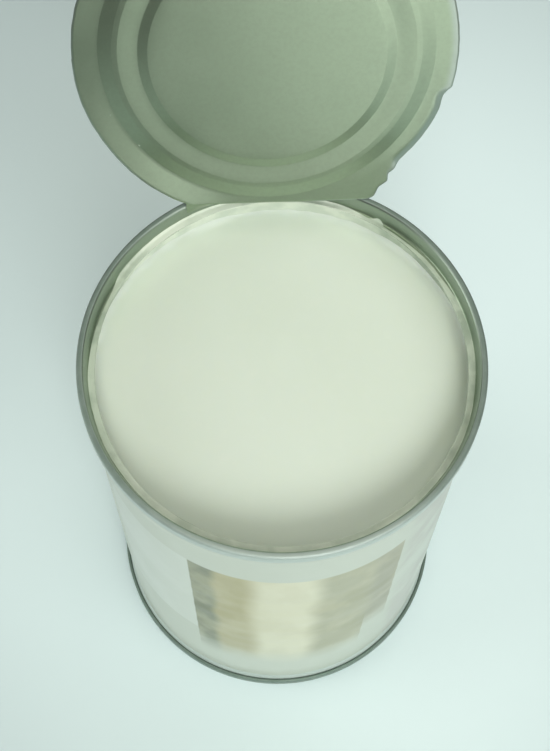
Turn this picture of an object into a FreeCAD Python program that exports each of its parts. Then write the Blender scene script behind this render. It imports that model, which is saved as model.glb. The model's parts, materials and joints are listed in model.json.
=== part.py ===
import FreeCAD, Part
import math
import os

# An opened three-piece tin of coconut milk, in millimetres, +Z up.
# The origin is the centre of the base, on the plane that the bottom seam stands on.
# The cut lid still hangs on a strip of metal at the back (+Y) and folds about a line along X.

# Driving dimensions
can_height = 112.7        # from the bottom seam's edge to the top seam's edge
seam_diameter = 76.2      # over the double seams
seam_height = 3.0         # of each double seam
body_sheet = 0.22         # tinplate of the side wall
end_sheet = 0.25          # tinplate of the two ends
layer_gap = 0.03          # between neighbouring layers in a seam
body_hook_gap = 0.3       # from the side wall's hook to the inside of the seam's inner edge
cover_hook_gap = 0.5      # from the end's hook to the side wall's flange
seam_crown_rounding = 0.42  # mid-sheet radius of the two bends along a seam's edge
neck_below_seam = 0.2     # from a seam's inner end to the neck of the side wall
neck_length = 1.4         # over which the side wall narrows from seam to bore
neck_step = 0.57          # by which it narrows there, on each side
neck_rounding = 1.0       # mid-sheet radius of the two bends of that neck
end_depth = 3.4           # from a seam's edge to the middle of the end's flat rim
chuck_slant = 0.615       # by which the end's standing wall narrows on its way to the flat rim
foot_rounding = 0.6       # mid-sheet radius between standing wall and flat rim
bead_rounding = 0.5       # mid-sheet radius of the bends in the end's rings

# The end's pressed rings: mid-sheet distance from the standing wall's foot, and height on the
# milk's side of the flat rim. The first height is that of the whole middle panel.
panel_rings = (
    (14.9, 0.8),
    (13.1, 0.42),
    (9.5, 0.6),
    (8.5, 0.52),
    (6.0, 0.0),
)

lip_width = 1.4           # left by the cut along the standing wall of the top end
cut_gap = 0.35            # between that lip and the cut-out lid
lid_sideways = -0.8       # from the can's middle plane to the lid's middle
uncut_depth = 2.6         # from the lid's round outline in to the fold line, where it wasn't cut
fold_inset = 3.8          # from the standing wall's foot in to the fold line
fold_above_rim = 0.5      # from the top seam's edge up to the fold line
open_angle = 116.0        # of the lid from lying flat, as it stands
bridge_width = 24.0       # of the uncut strip that carries the lid
fold_knuckle = 0.8        # diameter of the bead of metal along the fold
fold_clearance = 0.3      # between that bead and the strip

milk_below_rim = 9.6      # from the top seam's edge down to the milk
milk_clearance = 0.03     # between the milk and the metal

label_paper = 0.15        # thickness of the label
label_clearance = 0.02    # between the label and the side wall
label_margin = 0.4        # from the neck to the label's edge

# Sizes that follow from them
sheet_step = (body_sheet + end_sheet) / 2 + layer_gap
seam_radii = [seam_diameter / 2 - end_sheet / 2 - layer * sheet_step for layer in range(5)]
skirt_radius, body_hook_radius, cover_hook_radius, flange_radius, chuck_radius = seam_radii
skirt_rounding = (skirt_radius - cover_hook_radius) / 2
flange_rounding = (body_hook_radius - flange_radius) / 2
flange_depth = end_sheet + layer_gap + body_sheet / 2
body_hook = seam_height - end_sheet - body_hook_gap
cover_hook = flange_depth + body_sheet / 2 + cover_hook_gap
body_radius = flange_radius - neck_step
bore_radius = body_radius - body_sheet / 2
neck_start = seam_height + neck_below_seam
neck_end = neck_start + neck_length
chuck_foot_radius = chuck_radius - chuck_slant
opening_radius = chuck_foot_radius - lip_width
lid_radius = opening_radius - cut_gap
fold_to_lid_centre = lid_radius - uncut_depth
fold_y = chuck_foot_radius - fold_inset
fold_z = can_height + fold_above_rim

WHOLE_TURN = 360
Z_AXIS = FreeCAD.Vector(0, 0, 1)
ORIGIN = FreeCAD.Vector(0, 0, 0)


def at(radius, height):
    """A point of a half section, in the XZ plane."""
    return FreeCAD.Vector(radius, 0, height)


def left_of(direction):
    """The direction turned a quarter turn to the left in the XZ plane."""
    return FreeCAD.Vector(-direction.z, 0, direction.x)


def offset_edges(points, radii, offset):
    """Edges beside a path of straight runs, its inner corners rounded by radii.

    The edges lie at the offset to the left of the path, or to the right if it is negative.
    """
    corners = [at(*point) for point in points]
    edges = []
    run_start = corners[0]
    heading = (corners[1] - corners[0]).normalize()
    for corner, following, radius in zip(corners[1:], corners[2:], radii):
        next_heading = (following - corner).normalize()
        side = left_of(heading)
        turn = math.atan2(side.dot(next_heading), heading.dot(next_heading))
        reach = radius * math.tan(abs(turn) / 2)
        arc_start = corner - heading * reach
        arc_end = corner + next_heading * reach
        edges += straight_edge(run_start + side * offset, arc_start + side * offset)
        centre = arc_start + side * math.copysign(radius, turn)
        arc_radius = radius - math.copysign(offset, turn * offset)
        middle = centre + (corner - centre).normalize() * arc_radius
        arc = Part.Arc(arc_start + side * offset, middle, arc_end + left_of(next_heading) * offset)
        edges.append(arc.toShape())
        run_start = arc_end
        heading = next_heading
    side = left_of(heading)
    return edges + straight_edge(run_start + side * offset, corners[-1] + side * offset)


def straight_edge(start, end):
    """One edge between two points, or none where two bends follow on each other."""
    if start.distanceToPoint(end) < 1e-6:
        return []
    return [Part.LineSegment(start, end).toShape()]


def straight_edges(points):
    """Edges from each point to the next."""
    return [Part.LineSegment(start, end).toShape() for start, end in zip(points, points[1:])]


def free_end(edges, last):
    """The point where a list of edges starts, or where it ends."""
    edge = edges[-1] if last else edges[0]
    return edge.valueAt(edge.LastParameter if last else edge.FirstParameter)


def close_and_revolve(edges, centre=ORIGIN):
    """The solid that a closed half section sweeps round the vertical line through centre."""
    wire = Part.Wire(Part.__sortEdges__(edges))
    return Part.Face(wire).revolve(centre, Z_AXIS, WHOLE_TURN)


def revolved_sheet(points, radii, thickness):
    """Sheet metal that follows a path, swept round the axis."""
    outer = offset_edges(points, radii, thickness / 2)
    inner = offset_edges(points, radii, -thickness / 2)
    caps = []
    for last in (False, True):
        caps += straight_edge(free_end(outer, last), free_end(inner, last))
    return close_and_revolve(outer + inner + caps)


def mirrored(points, height):
    """The same path upside down, below the given height."""
    return [(radius, height - z) for radius, z in points]


def seam_path():
    """The end's path from its flat rim up the standing wall and round the seam to its hook."""
    return [
        (chuck_foot_radius, end_depth),
        (chuck_radius, end_sheet / 2),
        (skirt_radius, end_sheet / 2),
        (skirt_radius, seam_height - end_sheet / 2),
        (cover_hook_radius, seam_height - end_sheet / 2),
        (cover_hook_radius, cover_hook),
    ]


def seam_radii_of_bends():
    return [foot_rounding, seam_crown_rounding, seam_crown_rounding, skirt_rounding, skirt_rounding]


def panel_path(base, milk_side):
    """The end's path from the axis out to its flat rim, with the milk above or below it."""
    rings = [(chuck_foot_radius - inset, base + milk_side * height) for inset, height in panel_rings]
    return [(0, rings[0][1])] + rings


def make_bottom_end():
    path = panel_path(end_depth, 1) + seam_path()
    radii = [bead_rounding] * len(panel_rings) + seam_radii_of_bends()
    return revolved_sheet(path, radii, end_sheet)


def make_can_body():
    half = [
        (body_hook_radius, body_hook),
        (body_hook_radius, flange_depth),
        (flange_radius, flange_depth),
        (flange_radius, neck_start),
        (body_radius, neck_end),
    ]
    radii = [flange_rounding, flange_rounding, neck_rounding, neck_rounding]
    path = half + mirrored(half, can_height)[::-1]
    return revolved_sheet(path, radii + radii[::-1], body_sheet)


def wall_radius(depth):
    """Mid-sheet radius of the end's standing wall at a depth below the seam's edge."""
    slope = (chuck_foot_radius - chuck_radius) / (end_depth - end_sheet / 2)
    return chuck_radius + slope * (depth - end_sheet / 2)


def make_bridge():
    """The strip of uncut metal, pulled up slantwise from the lip to the fold."""
    fold = FreeCAD.Vector(0, fold_y, fold_z)
    foot = FreeCAD.Vector(0, chuck_foot_radius, can_height - end_depth)
    along = (foot - fold).normalize()
    across = along.cross(FreeCAD.Vector(1, 0, 0)) * (end_sheet / 2)
    start = fold + along * (fold_knuckle / 2 + fold_clearance)
    corners = [start + across, foot + across, foot - across, start - across]
    section = Part.makePolygon(corners + corners[:1])
    section.translate(FreeCAD.Vector(-bridge_width / 2, 0, 0))
    strip = Part.Face(section).extrude(FreeCAD.Vector(bridge_width, 0, 0))
    low, high = wall_radius(end_depth), wall_radius(-2 * fold_above_rim)
    inside = Part.makeCone(low, high, end_depth + 2 * fold_above_rim)
    inside.translate(FreeCAD.Vector(0, 0, can_height - end_depth))
    return strip.common(inside)


def make_top_rim():
    """What stays of the top end: its seam, its standing wall, the cut lip and the bridge."""
    path = [(opening_radius, end_depth)] + seam_path()
    ring = revolved_sheet(mirrored(path, can_height), seam_radii_of_bends(), end_sheet)
    return ring.fuse(make_bridge()).removeSplitter().Solids[0]


def make_lid_panel():
    """The cut-out lid, made lying flat and then folded back about the fold line."""
    path = panel_path(fold_z, -1) + [(lid_radius, fold_z)]
    disc = revolved_sheet(path, [bead_rounding] * len(panel_rings), end_sheet)
    disc.translate(FreeCAD.Vector(lid_sideways, fold_y - fold_to_lid_centre, 0))
    width = 2 * lid_radius
    beyond_fold = Part.makeBox(width, width, width)
    beyond_fold.translate(FreeCAD.Vector(lid_sideways - lid_radius, fold_y, fold_z - lid_radius))
    knuckle_start = FreeCAD.Vector(-bridge_width / 2, fold_y, fold_z)
    knuckle = Part.makeCylinder(fold_knuckle / 2, bridge_width, knuckle_start, FreeCAD.Vector(1, 0, 0))
    lid = disc.cut(beyond_fold).fuse(knuckle).removeSplitter().Solids[0]
    lid.rotate(FreeCAD.Vector(0, fold_y, fold_z), FreeCAD.Vector(1, 0, 0), -open_angle)
    return lid


def make_coconut_milk():
    """The milk, from the bottom end's rings up to its level."""
    radius = bore_radius - milk_clearance
    level = can_height - milk_below_rim
    rim_radius = chuck_foot_radius - foot_rounding
    path = panel_path(end_depth, 1) + [(rim_radius, end_depth)]
    radii = [bead_rounding] * len(panel_rings)
    floor = offset_edges(path, radii, end_sheet / 2 + milk_clearance)
    outline = [
        free_end(floor, True),
        at(radius, neck_end),
        at(radius, level),
        at(0, level),
        free_end(floor, False),
    ]
    return close_and_revolve(floor + straight_edges(outline))


def make_label():
    """The paper sleeve round the straight part of the side wall."""
    inner = bore_radius + body_sheet + label_clearance
    low = neck_end + label_margin
    corners = [
        at(inner, low),
        at(inner + label_paper, low),
        at(inner + label_paper, can_height - low),
        at(inner, can_height - low),
    ]
    return close_and_revolve(straight_edges(corners + corners[:1]))


SUB_PARTS = {
    "can_body": make_can_body,
    "bottom_end": make_bottom_end,
    "top_rim": make_top_rim,
    "lid_panel": make_lid_panel,
    "coconut_milk": make_coconut_milk,
    "paper_label": make_label,
}

os.makedirs("parts", exist_ok=True)
for node, make in SUB_PARTS.items():
    solid = make()
    print(node, "valid", solid.isValid(), "solids", len(solid.Solids), "volume mm3", round(solid.Volume, 1))
    solid.exportStep("parts/" + node + ".step")
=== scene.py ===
import cmath
import json
import math

import bmesh
import bpy
import numpy as np
from mathutils import Matrix, Vector


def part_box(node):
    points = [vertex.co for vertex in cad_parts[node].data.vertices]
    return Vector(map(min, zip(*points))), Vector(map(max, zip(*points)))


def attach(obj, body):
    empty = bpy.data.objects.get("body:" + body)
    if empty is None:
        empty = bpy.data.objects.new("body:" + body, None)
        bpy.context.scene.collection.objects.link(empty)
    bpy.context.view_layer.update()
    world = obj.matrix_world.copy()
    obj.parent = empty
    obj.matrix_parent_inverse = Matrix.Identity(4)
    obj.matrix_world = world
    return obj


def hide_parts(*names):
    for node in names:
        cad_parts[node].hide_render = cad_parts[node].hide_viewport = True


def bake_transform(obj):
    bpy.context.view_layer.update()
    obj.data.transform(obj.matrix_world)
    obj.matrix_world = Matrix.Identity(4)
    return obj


# The looks of an opened tin of coconut milk. Lengths are millimetres and angles are degrees
# until a mesh, a light or the camera is made. Azimuths are counted from +X towards +Y, so the
# front is at -90 and the fold of the lid at 90. Depths are counted down from the rim.

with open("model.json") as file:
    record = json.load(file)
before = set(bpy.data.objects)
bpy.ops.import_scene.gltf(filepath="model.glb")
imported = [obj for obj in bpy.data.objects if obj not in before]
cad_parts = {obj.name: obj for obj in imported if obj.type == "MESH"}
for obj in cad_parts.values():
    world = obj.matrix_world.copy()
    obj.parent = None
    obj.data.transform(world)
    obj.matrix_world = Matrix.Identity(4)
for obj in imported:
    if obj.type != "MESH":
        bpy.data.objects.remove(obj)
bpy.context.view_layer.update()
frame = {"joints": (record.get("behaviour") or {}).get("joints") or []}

MM = 0.001
TAU = 2 * math.pi

# Steps round the can in its meshes
SEGMENTS = 288


def box_mm(node):
    """The lowest and the highest corner of a CAD node's box, in millimetres."""
    low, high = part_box(node)
    return low / MM, high / MM


# Sizes from the frame
body_low, body_high = box_mm("can_body")
milk_high = box_mm("coconut_milk")[1]
label_low, label_high = box_mm("paper_label")
lid_low, lid_high = box_mm("lid_panel")
can_height = body_low.z + body_high.z
seam_radius = box_mm("top_rim")[1].x
milk_level = milk_high.z
milk_radius = milk_high.x
fold_y, fold_z = (value / MM for value in frame["joints"][0]["pos_m"][1:])
lid_radius = (lid_high.x - lid_low.x) / 2
lid_middle_x = (lid_high.x + lid_low.x) / 2
lid_rise = math.atan2(lid_high.z - fold_z, lid_high.y - fold_y)

# Sheet metal, the same as in the solids
end_sheet = 0.25
body_sheet = 0.22
layer_gap = 0.03
milk_gap = 0.03
seam_height = 3.0
body_hook_depth = 2.4
cover_hook_depth = 1.0
crown_rounding = 0.42
sheet_step = (body_sheet + end_sheet) / 2 + layer_gap
skirt_radius, body_hook_radius, cover_hook_radius, flange_radius, chuck_radius = (
    seam_radius - end_sheet / 2 - layer * sheet_step for layer in range(5)
)
body_radius = milk_radius + milk_gap + body_sheet / 2
bore_radius = body_radius - body_sheet / 2
neck_start = 3.2
neck_end = 4.6
neck_rounding = 1.0
end_depth = 3.4
chuck_slant = 0.615
foot_radius = chuck_radius - chuck_slant
foot_rounding = 0.6
lip_width = 1.4
lip_radius = foot_radius - lip_width
label_gap = 0.02

# The ends' pressed rings, by inset from the standing wall's foot and by height
ring_insets = (14.9, 13.1, 9.5, 8.5, 6.0)
ring_heights = (0.8, 0.42, 0.6, 0.52, 0.0)
bead_rounding = 0.5
ring_corners = [(foot_radius - inset, height) for inset, height in zip(ring_insets, ring_heights)]
panel_rings = [(0, ring_heights[0])] + ring_corners


# ---------------------------------------------------------------- outlines

def rounded(corners, radii, turn_step=15):
    """Points (radius + height j) along straight runs, their inner corners rounded by radii."""
    points = [complex(*corners[0])]
    for before, corner, after, radius in zip(corners, corners[1:], corners[2:], radii):
        before, corner, after = complex(*before), complex(*corner), complex(*after)
        heading = (corner - before) / abs(corner - before)
        turn = cmath.phase((after - corner) / heading)
        start = corner - heading * radius * math.tan(abs(turn) / 2)
        centre = start + heading * 1j * math.copysign(radius, turn)
        steps = max(2, math.ceil(math.degrees(abs(turn)) / turn_step))
        points += [centre + (start - centre) * cmath.exp(1j * turn * k / steps) for k in range(steps + 1)]
    points.append(complex(*corners[-1]))
    return without_repeats(points)


def without_repeats(points):
    """The points of a line, less each one that lies on the one before it."""
    kept = points[:1]
    for point in points[1:]:
        if abs(point - kept[-1]) > 1e-4:
            kept.append(point)
    return kept


def subdivided(points, longest):
    """The same line with no run longer than the given length."""
    result = points[:1]
    for start, end in zip(points, points[1:]):
        parts = max(1, math.ceil(abs(end - start) / longest))
        result += [start + (end - start) * k / parts for k in range(1, parts + 1)]
    return result


def normals(points):
    """Unit normals to the left of a line, at its points."""
    line = np.array(points)
    runs = np.diff(line)
    runs = runs / np.abs(runs)
    joined = np.concatenate([runs[:1], runs[:-1] + runs[1:], runs[-1:]])
    joined = joined / np.abs(joined)
    cosine = np.concatenate([[1], np.abs(runs[:-1] + runs[1:]) / 2, [1]])
    return 1j * joined / cosine


def sheet_sides(points, thickness):
    """The lines half a thickness to the left and to the right of a line."""
    line, side = np.array(points), normals(points)
    return line + side * thickness / 2, line - side * thickness / 2


def wander(angle, seed, slowest, fastest, fall):
    """Smooth random heights round a circle, mostly between -1 and 1."""
    random = np.random.default_rng(seed)
    waves = np.arange(slowest, fastest + 1)
    weights = waves**-fall
    phases = random.uniform(0, TAU, len(waves))
    total = sum(w * np.sin(k * angle + p) for w, k, p in zip(weights, waves, phases))
    return total / math.sqrt((weights**2).sum())


def ramp(value, start, end):
    """0 before start, 1 after end, and smooth between."""
    t = np.clip((value - start) / (end - start), 0, 1)
    return t * t * (3 - 2 * t)


def window(value, start, end, soft):
    """1 between start and end, with soft flanks inside them."""
    return ramp(value, start, start + soft) * (1 - ramp(value, end - soft, end))


def bulge(value, centre, width):
    """1 at the centre, and less the further away, like a bell."""
    return np.exp(-(((value - centre) / width) ** 2))


# ---------------------------------------------------------------- meshes

def make_object(name, vertices, faces, materials, face_materials=None, sharp=40):
    """A piece from places in millimetres, shaded smooth but for edges that bend more than sharp."""
    mesh = bpy.data.meshes.new(name)
    mesh.from_pydata(np.asarray(vertices) * MM, [], faces)
    for material in materials:
        mesh.materials.append(material)
    if face_materials is not None:
        mesh.polygons.foreach_set("material_index", face_materials)
    merge_and_orient(mesh)
    mesh.shade_smooth()
    mesh.set_sharp_from_angle(angle=math.radians(sharp))
    piece = bpy.data.objects.new(name, mesh)
    bpy.context.collection.objects.link(piece)
    return piece


def merge_and_orient(mesh):
    """Joins vertices that lie together, removes empty faces and turns the rest outwards."""
    edit = bmesh.new()
    edit.from_mesh(mesh)
    bmesh.ops.remove_doubles(edit, verts=edit.verts, dist=1e-8)
    bmesh.ops.dissolve_degenerate(edit, edges=edit.edges, dist=1e-8)
    bmesh.ops.recalc_face_normals(edit, faces=edit.faces)
    edit.to_mesh(mesh)
    edit.free()


def grid_faces(rows, columns, close_rows, close_columns):
    """Quads of a grid whose vertices are counted row by row."""
    faces = []
    for row in range(rows if close_rows else rows - 1):
        here, below = row * columns, (row + 1) % rows * columns
        for column in range(columns if close_columns else columns - 1):
            beside = (column + 1) % columns
            faces.append((here + column, here + beside, below + beside, below + column))
    return faces


def swept(radius, angle, height):
    """Places of points that are given by radius, azimuth in radians and height."""
    return np.stack([radius * np.cos(angle), radius * np.sin(angle), height], axis=-1)


def revolve(name, outline, materials, sides=None, warp=None, segments=SEGMENTS):
    """A closed outline of (radius + height j) swept round the axis.

    sides gives the material of each of the outline's runs, and warp moves the points.
    """
    outline = np.asarray(outline)
    angle = np.arange(segments) * TAU / segments
    radius, angle = np.meshgrid(outline.real, angle, indexing="ij")
    height = np.repeat(outline.imag[:, None], segments, axis=1)
    if warp:
        radius, height = warp(radius, height, angle)
    vertices = swept(radius, angle, height).reshape(-1, 3)
    faces = grid_faces(len(outline), segments, True, True)
    face_materials = None if sides is None else np.repeat(sides, segments)
    return make_object(name, vertices, faces, materials, face_materials)


def closed_sheet(name, front, back, material):
    """Two grids of points, joined to each other all round their border."""
    rows, columns = front.shape[:2]
    count = rows * columns
    faces = grid_faces(rows, columns, False, False)
    faces += [tuple(count + v for v in face[::-1]) for face in faces]
    border = list(range(columns)) + [r * columns + columns - 1 for r in range(1, rows)]
    border += [count - 1 - k for k in range(1, columns)] + [r * columns for r in range(rows - 2, 0, -1)]
    for first, second in zip(border, border[1:] + border[:1]):
        faces.append((first, second, count + second, count + first))
    vertices = np.concatenate([front.reshape(-1, 3), back.reshape(-1, 3)])
    return make_object(name, vertices, faces, [material])


def places_of(piece):
    """The places of a piece's vertices in millimetres."""
    return np.array([vertex.co for vertex in piece.data.vertices]) / MM


def give(piece, name, values):
    """Gives each vertex of a piece its own value for the material."""
    attribute = piece.data.attributes.new(name, "FLOAT", "POINT")
    attribute.data.foreach_set("value", values.astype(np.float32))


def mark(piece, name, share):
    """Gives the vertices of a piece a value that comes from their azimuth, radius and height."""
    x, y, height = places_of(piece).T
    give(piece, name, share(np.degrees(np.arctan2(y, x)), np.hypot(x, y), height))


def from_rim(points):
    """Points given by radius and depth below the rim, as radius and height."""
    return [complex(point.real, can_height - point.imag) for point in points]


# ---------------------------------------------------------------- materials

class Paint:
    """A material with one Principled shader, and short calls for the nodes that feed it."""

    def __init__(self, name, **constants):
        self.material = bpy.data.materials.new(name)
        self.material.use_nodes = True
        self.tree = self.material.node_tree
        self.shader = self.tree.nodes["Principled BSDF"]
        for socket, value in constants.items():
            self.shader.inputs[socket.replace("_", " ")].default_value = value

    def node(self, kind, inputs=(), **settings):
        """A new node, with values or links for its inputs."""
        node = self.tree.nodes.new(kind)
        for key, value in settings.items():
            setattr(node, key, value)
        for socket, value in dict(inputs).items():
            self.feed(node.inputs[socket], value)
        return node

    def feed(self, socket, value):
        """Links an input to another node's output, or gives it a value."""
        if isinstance(value, bpy.types.NodeSocket):
            self.tree.links.new(value, socket)
        elif isinstance(value, tuple) and len(value) == 3 and socket.type == "RGBA":
            socket.default_value = (*value, 1)
        else:
            socket.default_value = value

    def place(self):
        """The place on the piece, in metres."""
        return self.node("ShaderNodeTexCoord").outputs["Object"]

    def attribute(self, name):
        """The value that mark or give left on the vertices, and 0 on other pieces."""
        return self.node("ShaderNodeAttribute", attribute_name=name).outputs["Fac"]

    def math(self, operation, first, second=0.0, third=0.0):
        return self.node("ShaderNodeMath", {0: first, 1: second, 2: third}, operation=operation).outputs[0]

    def noise(self, size, detail=3.0, roughness=0.5, stretch=(1, 1, 1), distortion=0.0):
        """Noise with features of a size in millimetres, from 0 to 1."""
        scaled = self.node("ShaderNodeMapping", {"Vector": self.place(), "Scale": stretch}).outputs[0]
        inputs = {"Vector": scaled, "Scale": 1 / (size * MM), "Detail": detail}
        inputs.update({"Roughness": roughness, "Distortion": distortion})
        return self.node("ShaderNodeTexNoise", inputs).outputs["Fac"]

    def ramp(self, value, start, end, low=0.0, high=1.0):
        """low before start, high after end, and smooth between."""
        inputs = {"Value": value, "From Min": start, "From Max": end, "To Min": low, "To Max": high}
        return self.node("ShaderNodeMapRange", inputs, interpolation_type="SMOOTHSTEP").outputs[0]

    def window(self, value, start, end, soft):
        """1 between start and end, with a soft flank across each of them."""
        rising = self.ramp(value, start - soft / 2, start + soft / 2)
        falling = self.ramp(value, end - soft / 2, end + soft / 2, 1.0, 0.0)
        return self.math("MULTIPLY", rising, falling)

    def mix(self, share, first, second):
        """A colour between two, the second where the share is 1."""
        node = self.node("ShaderNodeMix", data_type="RGBA")
        self.feed(node.inputs["Factor"], share)
        self.feed(node.inputs[6], first)
        self.feed(node.inputs[7], second)
        return node.outputs[2]

    def bump(self, height, distance, strength=1.0, below=None):
        """A normal from a height of 0 to 1, for relief as high as the distance in millimetres."""
        inputs = {"Height": height, "Distance": distance * MM, "Strength": strength}
        if below is not None:
            inputs["Normal"] = below
        return self.node("ShaderNodeBump", inputs).outputs[0]

    def finish(self, **links):
        """Feeds the shader's inputs and gives back the material."""
        for socket, value in links.items():
            self.feed(self.shader.inputs[socket.replace("_", " ")], value)
        return self.material


def make_tinplate():
    """Dull tinplate with fine rolling lines and a mottled bloom, darkened on the seams by painted shade
    and painted dark reflections.
    """
    paint = Paint("tinplate", Metallic=0.6)
    bloom = paint.noise(3.5, 4.0, 0.6)
    lines = paint.noise(0.35, 2.0, 0.6, stretch=(1, 1, 0.08))
    marks = paint.noise(9.0, 5.0, 0.65, distortion=0.6)
    colour = paint.mix(bloom, (0.54, 0.62, 0.57), (0.61, 0.69, 0.64))
    colour = paint.mix(paint.ramp(marks, 0.55, 0.72, 0.0, 0.4), colour, (0.48, 0.56, 0.52))
    # Painted shade and dark reflections on the seams, by the value that each seam's vertices carry.
    seam_painted_shade = paint.math("MULTIPLY", paint.attribute("seam_painted_shade"), paint.ramp(bloom, 0.2, 0.8, 1.0, 0.85))
    colour = paint.mix(seam_painted_shade, colour, (0.105, 0.165, 0.125))
    mottle = paint.math("ADD", marks, paint.math("MULTIPLY", bloom, 0.4))
    roughness = paint.ramp(mottle, 0.4, 1.0, 0.52, 0.66)
    normal = paint.bump(lines, 0.012, 0.6, below=paint.bump(marks, 0.05, 0.5))
    return paint.finish(Base_Color=colour, Roughness=roughness, Normal=normal)


def make_lacquer():
    """Grey-green satin lacquer over tinplate, bare and bluish along cut edges."""
    paint = Paint("grey_green_lacquer", Metallic=0.85)
    cloud = paint.noise(14.0, 3.0, 0.5)
    fleck = paint.noise(0.8, 3.0, 0.6)
    peel = paint.noise(0.5, 2.0, 0.5)
    colour = paint.mix(cloud, (0.256, 0.332, 0.227), (0.29, 0.367, 0.261))
    colour = paint.mix(paint.ramp(fleck, 0.35, 0.7, 0.0, 0.35), colour, (0.245, 0.305, 0.22))
    colour = paint.mix(paint.attribute("bare"), colour, (0.35, 0.41, 0.39))
    roughness = paint.ramp(paint.math("ADD", cloud, fleck), 0.6, 1.4, 0.29, 0.36)
    normal = paint.bump(peel, 0.01, 0.4, below=paint.bump(cloud, 0.2, 0.3))
    return paint.finish(Base_Color=colour, Roughness=roughness, Normal=normal)


def make_milk_material():
    """Thick creamy milk."""
    paint = Paint("creamy_milk", Subsurface_Weight=0.25, Subsurface_Scale=0.0015, IOR=1.35)
    paint.shader.inputs["Subsurface Radius"].default_value = (1.0, 0.9, 0.7)
    cloud = paint.noise(22.0, 3.0, 0.5, distortion=0.4)
    fine = paint.noise(2.5, 3.0, 0.55)
    colour = paint.mix(cloud, (0.735, 0.82, 0.695), (0.765, 0.845, 0.735))
    colour = paint.mix(paint.ramp(fine, 0.5, 0.8, 0.0, 0.25), colour, (0.79, 0.86, 0.74))
    roughness = paint.ramp(cloud, 0.3, 0.7, 0.34, 0.46)
    normal = paint.bump(fine, 0.03, 0.35, below=paint.bump(cloud, 0.5, 0.25))
    return paint.finish(Base_Color=colour, Roughness=roughness, Normal=normal)


def make_milk_film():
    """A thin skin of milk over the metal, which shows through it where the skin is thin."""
    paint = Paint("milk_film", IOR=1.35)
    patches = paint.ramp(paint.noise(4.5, 3.0, 0.5), 0.34, 0.62)
    thin = paint.mix(patches, (0.30, 0.375, 0.28), (0.46, 0.54, 0.42))
    thick = paint.mix(patches, (0.60, 0.68, 0.56), (0.73, 0.80, 0.67))
    colour = paint.mix(paint.attribute("cover"), thin, thick)
    roughness = paint.ramp(patches, 0.0, 1.0, 0.34, 0.48)
    normal = paint.bump(patches, 0.02, 0.4)
    return paint.finish(Base_Color=colour, Roughness=roughness, Normal=normal)


# Where the print lies, by depth below the rim and by azimuth; its twin is on the can's back
PRINT_TOP = 21.0
PRINT_BOTTOM = 86.0
PRINT_LEFT = -121.6
PRINT_RIGHT = -52.6
STEP_LEFT = PRINT_RIGHT - 10
STEP_RISE = 14.0
PANEL_WIDTH = 34.0
PANEL_BOTTOM = 76.0

# The print's first upright band, and where each later one starts, how softly, and its colour
FIRST_BAND = (0.125, 0.145, 0.06)
LATER_BANDS = (
    (-114, 4, (0.375, 0.345, 0.155)),
    # The cream band is print with a painted highlight on it, where the varnish faces the front.
    (-101, 8, (0.66, 0.665, 0.47)),
    (-81, 8, (0.34, 0.345, 0.205)),
    (-62, 6, (0.285, 0.285, 0.18)),
)


def make_label_paper():
    """Varnished paper with fields of colour placed by azimuth and by depth below the rim."""
    paint = Paint("printed_label", Coat_Weight=0.25, Coat_Roughness=0.2)
    place = paint.node("ShaderNodeSeparateXYZ", {0: paint.place()})
    x, y, z = (place.outputs[k] for k in range(3))
    azimuth = paint.math("MULTIPLY", paint.math("ARCTAN2", y, x), 360 / TAU)
    depth = paint.math("MULTIPLY_ADD", z, -1 / MM, can_height)
    front = paint.math("WRAP", azimuth, 0.0, -180.0)
    soft = paint.noise(16.0, 3.0, 0.55)
    streaks = paint.noise(9.0, 3.0, 0.5, stretch=(1, 1, 0.6))
    wavy = paint.math("ADD", front, paint.math("MULTIPLY_ADD", soft, 7.0, -3.5))

    colour = paint.mix(soft, (0.50, 0.56, 0.46), (0.535, 0.595, 0.50))
    panel = paint.window(front, PRINT_LEFT - PANEL_WIDTH, PRINT_LEFT, 0.5)
    panel = paint.math("MULTIPLY", panel, paint.window(depth, PRINT_TOP, PANEL_BOTTOM, 0.6))
    colour = paint.mix(panel, colour, (0.59, 0.655, 0.57))
    blush = paint.window(front, PRINT_RIGHT + 3, PRINT_RIGHT + 32, 6.0)
    blush = paint.math("MULTIPLY", blush, paint.ramp(soft, 0.42, 0.6, 0.0, 0.6))
    colour = paint.mix(blush, colour, (0.46, 0.47, 0.42))

    bottom = paint.ramp(front, STEP_LEFT, STEP_LEFT + 0.6, PRINT_BOTTOM, PRINT_BOTTOM - STEP_RISE)
    bottom = paint.math("SUBTRACT", bottom, paint.math("MULTIPLY_ADD", streaks, 8.0, -4.0))
    fade = paint.ramp(paint.math("SUBTRACT", bottom, depth), -9.0, 9.0)
    inside = paint.math("MULTIPLY", fade, paint.ramp(depth, PRINT_TOP - 0.4, PRINT_TOP + 0.4))
    inside = paint.math("MULTIPLY", inside, paint.window(front, PRINT_LEFT, PRINT_RIGHT, 0.5))
    field = print_bands(paint, wavy)
    field = paint.mix(paint.ramp(streaks, 0.42, 0.66, 0.0, 0.35), field, (0.54, 0.53, 0.33))
    colour = paint.mix(inside, colour, field)

    grain = paint.noise(0.25, 2.0, 0.6)
    colour = paint.mix(paint.ramp(grain, 0.3, 0.7, 0.0, 0.06), colour, (0.5, 0.55, 0.5))
    normal = paint.bump(streaks, 0.06, 0.4, below=paint.bump(grain, 0.01, 0.5))
    roughness = paint.ramp(soft, 0.3, 0.7, 0.3, 0.42)
    return paint.finish(Base_Color=colour, Roughness=roughness, Normal=normal)


def print_bands(paint, front):
    """The print's upright bands from left to right, which run softly into each other."""
    colour = FIRST_BAND
    for start, softness, following in LATER_BANDS:
        share = paint.ramp(front, start - softness / 2, start + softness / 2)
        colour = paint.mix(share, colour, following)
    return colour


# ---------------------------------------------------------------- the can

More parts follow.
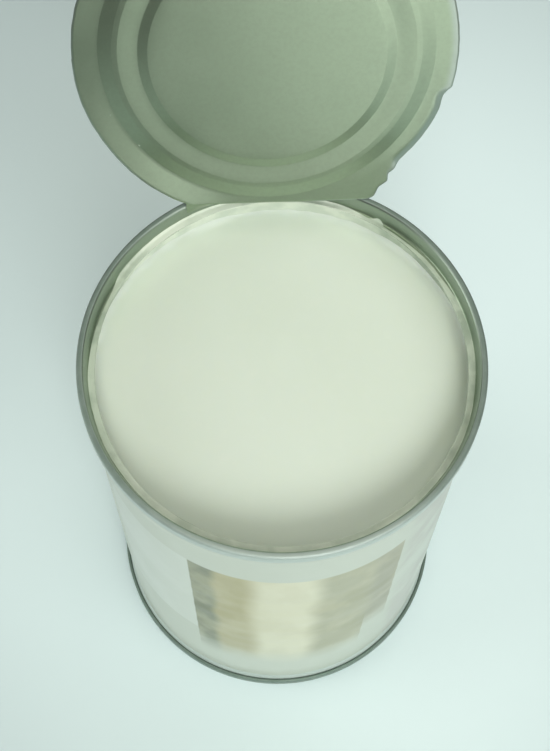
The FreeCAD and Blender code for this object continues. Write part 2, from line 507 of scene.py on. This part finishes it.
def seam_corners():
    """The end's line from its flat rim up the standing wall and round the seam, by depth."""
    return [
        (foot_radius, end_depth),
        (chuck_radius, end_sheet / 2),
        (skirt_radius, end_sheet / 2),
        (skirt_radius, seam_height - end_sheet / 2),
        (cover_hook_radius, seam_height - end_sheet / 2),
        (cover_hook_radius, cover_hook_depth),
    ]


def seam_bends():
    """The roundings at the standing wall's foot, the crown's two corners and the hook's two."""
    hook = (skirt_radius - cover_hook_radius) / 2
    return [foot_rounding, crown_rounding, crown_rounding, hook, hook]


def make_can_wall(tinplate, lacquer):
    """The side wall with a neck and a hook at both ends, lacquered on the inside."""
    flange_bend = (body_hook_radius - flange_radius) / 2
    flange_depth = end_sheet + layer_gap + body_sheet / 2
    half = [
        (body_hook_radius, body_hook_depth),
        (body_hook_radius, flange_depth),
        (flange_radius, flange_depth),
        (flange_radius, neck_start),
        (body_radius, neck_end),
    ]
    path = half + [(radius, can_height - depth) for radius, depth in half[::-1]]
    bends = [flange_bend, flange_bend, neck_rounding, neck_rounding]
    line = from_rim(subdivided(rounded(path, bends + bends[::-1]), 6.0))
    left, right = sheet_sides(line, body_sheet)
    outline = np.concatenate([left, right[::-1]])
    inner_side = left.real.mean() < right.real.mean()
    sides = [int(inner_side)] * len(left) + [int(not inner_side)] * len(right)
    return revolve("can_wall", outline, [tinplate, lacquer], sides)


def lip_warp(radius, height, angle):
    """Lets the cut lip's edge stray inwards and up, and less so towards the standing wall."""
    share = 1 - ramp(radius, lip_radius, foot_radius - foot_rounding)
    inwards = 0.07 * wander(angle, 3, 2, 30, 0.7) + 0.015 * wander(angle, 4, 60, 120, 0.3)
    upwards = 0.10 * wander(angle, 5, 2, 18, 0.8)
    return radius - share * inwards, height + share * upwards


def make_top_rim(lacquer, tinplate):
    """What is left of the top end, with bare tinplate on the outer part of its seam."""
    bare_width = 0.9
    corners = [(lip_radius, end_depth)] + seam_corners()
    line = from_rim(subdivided(rounded(corners, seam_bends()), 0.6))
    left, right = sheet_sides(line, end_sheet)
    outline = np.concatenate([left, right[::-1]])
    middle = (outline + np.roll(outline, -1)) / 2
    sides = (middle.real > skirt_radius - bare_width).astype(int)
    rim = revolve("top_rim_metal", outline, [lacquer, tinplate], sides, lip_warp, 2 * SEGMENTS)
    # Painted dark reflection on the outer bend of the crown.
    mark(rim, "seam_painted_shade", crown_painted_reflection)
    mark(rim, "bare", bare_wall)
    return rim


def bare_wall(azimuth, radius, height):
    """How thin the lacquer is on the standing wall, most of all at its top."""
    return 0.4 * ramp(height, can_height - end_depth, can_height - 2)


def crown_painted_reflection(azimuth, radius, height):
    """How much painted dark reflection lies on the outer bend of the seam's crown, least of all at the
    front.
    """
    round_the_bend = window(radius, skirt_radius - 1.2, skirt_radius + 0.35, 0.45)
    share = 0.8 - 0.4 * window(azimuth, -150, -30, 45)
    return share * round_the_bend * ramp(height, can_height - 0.8, can_height - 0.35)


def make_bottom_end(lacquer, tinplate):
    """The bottom end, closed and pressed with rings, with its whole seam in bare tinplate."""
    rings = [(radius, end_depth + height) for radius, height in panel_rings]
    bends = [bead_rounding] * len(ring_insets) + seam_bends()
    line = subdivided(rounded(rings + seam_corners(), bends), 4.0)
    left, right = sheet_sides(line, end_sheet)
    left[0], right[0] = complex(0, left[0].imag), complex(0, right[0].imag)
    outline = np.concatenate([left, right[::-1]])
    middle = (outline + np.roll(outline, -1)) / 2
    on_seam = (middle.real > chuck_radius - end_sheet) & (middle.imag < seam_height + 0.3)
    end = revolve("bottom_end_metal", outline, [lacquer, tinplate], on_seam.astype(int))
    # Painted shade on the bottom seam.
    mark(end, "seam_painted_shade", foot_painted_shade)
    return end


def foot_painted_shade(azimuth, radius, height):
    """How much painted shade lies on the bottom seam, most of all along its upper edge."""
    return 0.65 + 0.25 * ramp(height, 1.6, 2.8)


def make_milk(material):
    """The milk, creeping up the wall at its edge and not quite level."""
    into_wall, climb, creep_width = 0.06, 0.7, 3.5
    reach = bore_radius + into_wall
    start = reach - creep_width
    level = [complex(radius, milk_level) for radius in np.linspace(0, start, 24, endpoint=False)]
    creep = [complex(start + creep_width * t, milk_level + climb * t**5) for t in np.linspace(0, 1, 22)]
    floor = end_depth + 1.0
    outline = level + creep + [complex(reach, floor), complex(0, floor)]

    def warp(radius, height, angle):
        on_top = height > milk_level - 1
        swell = 0.10 * np.sin(3 * angle + 1.0) * (radius / reach) ** 2
        ripple = 0.06 * np.sin(radius / 4.0)
        fray = 0.22 * wander(angle, 11, 3, 60, 0.6) * ramp(radius, reach - 1.5, reach)
        return radius, height + on_top * (swell + ripple + fray)

    return revolve("milk", outline, [material], None, warp)


def along(line, lengths):
    """Points at the given lengths along a line of (radius + height j)."""
    line = np.array(line)
    travelled = np.concatenate([[0], np.cumsum(np.abs(np.diff(line)))])
    return np.interp(lengths, travelled, line.real) + 1j * np.interp(lengths, travelled, line.imag)


def domed(share, fullness):
    """A film's thickness from one edge, 0, to the other, 1, steeper at the edges when it's fuller."""
    return np.clip(1 - np.abs(2 * share - 1) ** fullness, 0, 1)


def make_skin(name, material, angle, points, thickness):
    """A closed skin of milk on metal, from its points on the metal and its thickness there."""
    root = 0.04
    side = np.stack([normals(column) for column in points.T], axis=1)
    outer, inner = points + side * thickness, points - side * root
    outer, inner = swept(outer.real, angle, outer.imag), swept(inner.real, angle, inner.imag)
    skin = closed_sheet(name, outer, inner, material)
    mark(skin, "cover", milk_cover)
    return skin


# How far out the milk reaches from the lip's edge, by azimuth
LIP_REACH = (
    (-200, 0.5), (-192, 0.7), (-180, 0.9), (-165, 1.0), (-30, 1.0), (-12, 0.9),
    (8, 1.0), (20, 0.8), (28, 0.4), (52, 0.35), (60, 0.5), (68, 0.9),
    (92, 1.1), (100, 1.35), (146, 1.35), (152, 0.55), (160, 0.5),
)


def make_lip_film(material):
    """Milk left all round the cut lip, from under its edge to an uneven end on top of it."""
    half = end_sheet / 2
    wrap = 0.3
    round_the_edge = [
        (lip_radius + wrap, end_depth + half),
        (lip_radius, end_depth + half),
        (lip_radius, end_depth - half),
        (lip_radius + wrap, end_depth - half),
    ]
    edge = from_rim(rounded(round_the_edge, [half * 0.8] * 2))
    centre = rounded([(lip_radius, end_depth)] + seam_corners()[:2], [foot_rounding])
    top = sheet_sides(from_rim(subdivided(centre, 0.3)), end_sheet)[0]
    line = edge + [point for point in top if point.real > lip_radius + wrap + 0.05]

    degrees = np.linspace(-200, 160, 1081)
    angle = np.radians(degrees)
    reach = np.interp(degrees, *zip(*LIP_REACH))
    ragged = 0.08 * wander(angle, 31, 5, 24, 0.6) + 0.02 * wander(angle, 32, 40, 90, 0.3)
    drip = 0.9 * bulge(degrees, 56, 1.8)
    end = 2 * end_sheet + wrap + np.maximum(reach * (1 + ragged) + drip, 0.15)
    share = np.linspace(0, 1, 25)[:, None]
    points = along(line, end * share)
    radius, height = lip_warp(points.real, points.imag, angle)
    thickness = 0.05 * np.minimum(reach, 1) * (1 + 0.3 * wander(angle, 41, 5, 30, 0.6))
    return make_skin("lip_film", material, angle, radius + 1j * height, domed(share, 4) * thickness)


def milk_cover(azimuth, radius, height):
    """How thickly the milk's film covers the metal: most at the back, least at the sides."""
    return 0.15 + 0.85 * window(azimuth, 48, 152, 18) + 0.7 * window(azimuth, -160, -20, 25)


def make_wall_film(material):
    """Milk that clings to the back of the side wall above the level, with an uneven upper edge."""
    degrees = np.linspace(5, 175, 681)
    angle = np.radians(degrees)
    below_level = 0.3
    rise = 4.4 + 0.5 * wander(angle, 51, 8, 50, 0.5)
    rise = np.maximum(rise * window(degrees, 5, 175, 30), 0.12) + below_level
    line = [complex(bore_radius, milk_level - below_level), complex(bore_radius, can_height - neck_end)]
    share = np.linspace(0, 1, 15)[:, None]
    points = along(line, rise * share)
    thickness = np.maximum(0.05 + 0.02 * wander(angle, 52, 8, 40, 0.6), 0.02)
    return make_skin("wall_film", material, angle, points, domed(share, 2.5) * thickness)


def make_label(material):
    """The paper sleeve, lapped at the back and faintly ribbed round the middle."""
    inner = body_radius + body_sheet / 2 + label_gap
    outer = label_high.x
    low, high = label_low.z, label_high.z
    rise = np.linspace(low, high, 60)
    outline = [complex(inner, low)] + [complex(outer, z) for z in rise] + [complex(inner, high)]

    def warp(radius, height, angle):
        on_face = radius > (inner + outer) / 2
        lap = 0.15 * bulge(np.degrees(angle), 90, 7)
        rib_spacing = 7.0
        ribs = 0.05 * np.sin(height * TAU / rib_spacing) * window(height, 20, can_height - 30, 6)
        return radius + on_face * (lap + ribs), height

    return revolve("label_sleeve", outline, [material], None, warp)


# ---------------------------------------------------------------- the lid

LID_UP = np.array([0, math.cos(lid_rise), math.sin(lid_rise)])
LID_FACE = np.array([0, -math.sin(lid_rise), math.cos(lid_rise)])
lid_reach = math.hypot(lid_high.z - fold_z, lid_high.y - fold_y)
lid_centre = np.array([lid_middle_x, fold_y, fold_z]) + LID_UP * (lid_reach - lid_radius)
fold_gap = 0.3
lid_chord = lid_reach - lid_radius - fold_gap
lid_bow = 0.5


def lid_outline(turn):
    """The lid's radius where the opener cut it, by the angle in the lid's plane from its right.

    The angle is between -180 and 180, so the lower edge with its straight fold is at -90.
    """
    angle = np.radians(turn)
    even = lid_radius + 0.1 - 0.25 * np.cos(angle)
    full = 0.45 * bulge(turn, -140, 30) + 0.25 * bulge(turn, -25, 30)
    waver = 0.06 * wander(angle, 21, 3, 14, 0.5) + 0.02 * wander(angle, 22, 30, 90, 0.3)
    bent_in = 0.60 * window(turn, -47.5, -13.0, 4)
    nick = 0.40 * ramp(turn, -23, -16.5) * (1 - ramp(turn, -14.8, -12.8))
    torn_corner = ramp(-turn, 49, 51.5) * (1.3 + 1.25 * ramp(-turn, 54, 58)) * ramp(turn, -80, -70)
    radius = even + full + waver - bent_in - nick + torn_corner
    chord = (lid_chord + 0.01 * radius * np.cos(angle)) / np.maximum(-np.sin(angle), 1e-3)
    return soft_minimum(radius, np.minimum(chord, 2 * lid_radius))


def soft_minimum(first, second, sharpness=6.0):
    """The smaller of two lengths, with the corner where they cross rounded off."""
    nearer = np.minimum(first, second)
    return nearer - np.log1p(np.exp(-sharpness * np.abs(first - second))) / sharpness


def lid_point(across, up, out):
    """Places in the frame of points given across, up and out from the face of the lid's centre."""
    out = out - lid_bow * (across / lid_radius) ** 2
    return (
        lid_centre
        + np.asarray(across)[..., None] * np.array([1, 0, 0])
        + np.asarray(up)[..., None] * LID_UP
        + np.asarray(out)[..., None] * LID_FACE
    )


def make_lid(lacquer, tinplate):
    """The cut-out lid, whose rings go over into a flat rim out to the ragged edge."""
    flat_rim = (foot_radius - ring_insets[-1] + 0.7, 0)
    line = subdivided(rounded(panel_rings + [flat_rim], [bead_rounding] * len(ring_insets)), 1.5)
    line = np.array(line)[:, None]
    columns = 720
    turn = (np.arange(columns) * 360 / columns + 180) % 360 - 180
    angle = np.radians(turn)
    edge = lid_outline(turn)
    ringed = np.minimum(line.real, edge - 0.4)
    shares = np.concatenate([np.linspace(0.12, 0.72, 6), np.linspace(0.8, 1, 7)])[:, None]
    flat = ringed[-1] + (edge - ringed[-1]) * shares
    radius = np.concatenate([ringed, flat])
    height = np.concatenate([np.broadcast_to(line.imag, ringed.shape), np.zeros(flat.shape)])

    from_edge = edge - radius
    bent_down = 0.5 * window(turn, -47, -14, 5) * (1 - ramp(from_edge, 0.0, 1.6))
    lift = 0.13 * bulge(turn, -125, 28) * np.maximum(radius - 30.4, 0)
    burr = 0.12 * (1 - ramp(from_edge, 0, 0.35))
    waver = 0.12 * wander(angle, 24, 2, 9, 0.8) * ramp(radius, 30, 35)
    height = height - bent_down + lift - burr + waver
    across, up = radius * np.cos(angle), radius * np.sin(angle)
    front = lid_point(across, up, height + end_sheet / 2)
    back = lid_point(across, up, height - end_sheet / 2)
    vertices = np.concatenate([front, back[::-1]]).reshape(-1, 3)
    faces = grid_faces(2 * len(radius), columns, False, True)
    one_side = [0] * (len(radius) - 1)
    face_materials = np.repeat(one_side + [1] + one_side, columns)
    lid = make_object("lid", vertices, faces, [lacquer, tinplate], face_materials, 50)
    give(lid, "bare", bare_edge(places_of(lid)))
    return lid


def bare_edge(places):
    """How bare the lid's metal is at each place, which is most along the cut edge."""
    places = places - lid_centre
    across, up = places[:, 0], places @ LID_UP
    turn = np.degrees(np.arctan2(up, across))
    from_edge = lid_outline(turn) - np.hypot(across, up)
    width = 0.35 + 1.3 * window(turn, -52, 25, 8)
    bare = 0.55 * (1 - ramp(from_edge, width * 0.3, width * 1.1))
    return bare * (1 - window(turn, -128, -72, 6))


def make_specks(material):
    """Small drops of milk that dried on the lid, most of them at the lower left."""
    random = np.random.default_rng(61)
    count, sides, tilts = 14, 12, np.radians((0, 30, 60, 84))
    sunk = 0.03
    ring = np.arange(sides) * TAU / sides
    grid = grid_faces(len(tilts), sides, False, True)
    caps = [tuple(range(sides)), tuple(range((len(tilts) - 1) * sides, len(tilts) * sides))[::-1]]
    vertices, faces = [], []
    for turn, radius in zip(random.normal(-150, 9, count), random.normal(32.2, 0.8, count)):
        size = random.uniform(0.08, 0.24)
        wobble = 1 + 0.18 * np.sin(2 * ring + random.uniform(0, TAU))
        start = len(vertices) * len(tilts) * sides
        dome = []
        for tilt in tilts:
            spread = size * math.cos(tilt) * wobble
            across = radius * math.cos(math.radians(turn)) + np.cos(ring) * spread
            up = radius * math.sin(math.radians(turn)) + np.sin(ring) * spread
            rise = np.full(sides, end_sheet / 2 - sunk + size * 0.4 * math.sin(tilt))
            dome.append(lid_point(across, up, rise))
        vertices.append(np.concatenate(dome))
        faces += [tuple(start + v for v in face) for face in grid + caps]
    return make_object("lid_specks", np.concatenate(vertices), faces, [material], None, 80)


def make_bridge(lacquer):
    """The uncut strip, a smooth bend from the lid's lower edge down to the standing wall."""
    strip_left, strip_right = -17.0, 7.0
    across = np.linspace(strip_left, strip_right, 49)
    level = np.zeros(len(across))
    lap, wall_drop = 0.5, 2.6
    on_lid = lid_point(across - lid_middle_x, level - lid_chord + lap, level)
    wall_radius = foot_radius + 0.35
    behind = np.minimum(np.sqrt(wall_radius**2 - across**2), foot_radius + 0.1)
    on_wall = np.stack([across, behind, level + can_height - wall_drop], axis=-1)
    leave = -LID_UP * 2.6
    arrive = np.array([0, 0.6, -2.2])
    t = np.linspace(0, 1, 17)[:, None, None]
    middle = (2 * t**3 - 3 * t**2 + 1) * on_lid + (t**3 - 2 * t**2 + t) * leave
    middle = middle + (3 * t**2 - 2 * t**3) * on_wall + (t**3 - t**2) * arrive
    side = np.cross(np.gradient(middle, axis=0), np.gradient(middle, axis=1))
    side = side / np.linalg.norm(side, axis=-1, keepdims=True) * end_sheet / 2
    return closed_sheet("fold_strip", middle + side, middle - side, lacquer)


# ---------------------------------------------------------------- stage, light and camera

def make_floor():
    """A pale table top with a painted pool of light round the can, darker further away."""
    paint = Paint("pale_table", Roughness=0.5, Specular_IOR_Level=0.25)
    cloud = paint.noise(120.0, 2.0, 0.5)
    painted_pool_centre = (30 * MM, 50 * MM, 0)
    away = paint.node("ShaderNodeVectorMath", {0: paint.place(), 1: painted_pool_centre}, operation="DISTANCE")
    # Painted fall-off of light: the table is painted darker away from the can.
    painted_falloff = paint.ramp(away.outputs["Value"], 50 * MM, 200 * MM)
    colour = paint.mix(cloud, (0.80, 0.95, 0.94), (0.82, 0.97, 0.96))
    colour = paint.mix(painted_falloff, colour, (0.53, 0.635, 0.63))
    material = paint.finish(Base_Color=colour)
    reach = 900
    corners = [(-reach, -reach, 0), (reach, -reach, 0), (reach, reach, 0), (-reach, reach, 0)]
    floor = make_object("floor", corners, [(0, 1, 2, 3)], [material])


def turned(azimuth, elevation):
    """The direction at an azimuth and an elevation."""
    azimuth, elevation = math.radians(azimuth), math.radians(elevation)
    level = math.cos(elevation)
    return Vector((level * math.cos(azimuth), level * math.sin(azimuth), math.sin(elevation)))


def make_light(name, azimuth, elevation, distance, size, power, colour):
    """A round light of a size, that shines on the top of the can from a distance."""
    light = bpy.data.lights.new(name, "AREA")
    light.shape = "DISK"
    light.size = size * MM
    light.energy = power
    light.color = colour
    lamp = bpy.data.objects.new(name, light)
    way = turned(azimuth, elevation)
    lamp.location = (Vector((0, 0, can_height)) + way * distance) * MM
    lamp.rotation_mode = "QUATERNION"
    lamp.rotation_quaternion = way.to_track_quat("Z", "Y")
    bpy.context.collection.objects.link(lamp)


def make_lights():
    """A window in front and above, and large soft lights all round the room."""
    white, warm = (1.0, 1.0, 1.0), (1.0, 1.0, 0.86)
    for light in (
        ("window", -83, 38, 1000, 420, 5.3, white),
        ("ceiling", -90, 88, 1500, 900, 5.4, warm),
        ("front_low", -72, 3, 1500, 1000, 4.6, white),
        ("right_low", -50, 10, 1500, 500, 0.8, white),
        ("right", -45, 42, 1500, 1100, 5.7, white),
        ("left", 180, 18, 1500, 1100, 8.6, white),
        ("back_right", 45, 42, 1500, 1100, 2.5, white),
        ("back", 90, 42, 1500, 1100, 1.5, white),
    ):
        make_light(*light)


def make_world():
    """A dim room, so that the lights shape the metal, in front of a backdrop as pale as the table."""
    world = bpy.data.worlds.new("pale_room")
    world.use_nodes = True
    nodes, links = world.node_tree.nodes, world.node_tree.links
    room = nodes["Background"]
    room.inputs["Color"].default_value = (0.93, 1.0, 0.98, 1)
    room.inputs["Strength"].default_value = 0.03
    backdrop = nodes.new("ShaderNodeBackground")
    backdrop.inputs["Color"].default_value = (0.93, 1.0, 0.98, 1)
    backdrop.inputs["Strength"].default_value = 0.62
    mix = nodes.new("ShaderNodeMixShader")
    links.new(nodes.new("ShaderNodeLightPath").outputs["Is Camera Ray"], mix.inputs["Fac"])
    links.new(room.outputs[0], mix.inputs[1])
    links.new(backdrop.outputs[0], mix.inputs[2])
    links.new(mix.outputs[0], nodes["World Output"].inputs["Surface"])
    bpy.context.scene.world = world


def make_camera():
    """Looks down at the milk from a little left of straight in front."""
    pitch, yaw, roll = math.radians(67.2), math.radians(3.57), math.radians(1.09)
    distance, focal_length = 270.5, 70.56
    aim = Vector((-1.29, -3.36, 0))
    forward = Vector((0, math.cos(pitch), -math.sin(pitch)))
    level = Vector((1, 0, 0))
    upward = level.cross(forward)
    right = level * math.cos(roll) + upward * math.sin(roll)
    up = upward * math.cos(roll) - level * math.sin(roll)
    axes = Matrix((right, up, -forward)).transposed().to_4x4()
    camera = bpy.data.objects.new("camera", bpy.data.cameras.new("camera"))
    camera.data.lens = focal_length
    camera.data.clip_start = 0.01
    around = Matrix.Rotation(-yaw, 4, "Z")
    place = Matrix.Translation((aim - forward * distance) * MM) @ axes
    camera.matrix_world = Matrix.Translation((0, 0, can_height * MM)) @ around @ place
    bpy.context.collection.objects.link(camera)
    bpy.context.scene.camera = camera


# ---------------------------------------------------------------- assembly

tinplate = make_tinplate()
lacquer = make_lacquer()
milk_material = make_milk_material()

can_pieces = (
    (make_can_wall(tinplate, lacquer), "can_body", "tinplate"),
    (make_top_rim(lacquer, tinplate), "top_rim", "lacquered_tinplate"),
    (make_bottom_end(lacquer, tinplate), "bottom_end", "lacquered_tinplate"),
    (make_milk(milk_material), "coconut_milk", "coconut_milk"),
    (make_label(make_label_paper()), "paper_label", "printed_paper"),
)
for piece, node, slot in can_pieces:
    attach(piece, "can")
    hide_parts(node)

film = make_milk_film()
for piece in (make_lip_film(film), make_wall_film(film)):
    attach(piece, "can")

lid = make_lid(lacquer, tinplate)
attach(lid, "lid")
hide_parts("lid_panel")

specks = make_specks(film)
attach(specks, "lid")

bridge = make_bridge(lacquer)
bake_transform(bridge)

make_floor()
make_world()
make_lights()
make_camera()
bpy.context.scene.view_settings.view_transform = "Standard"
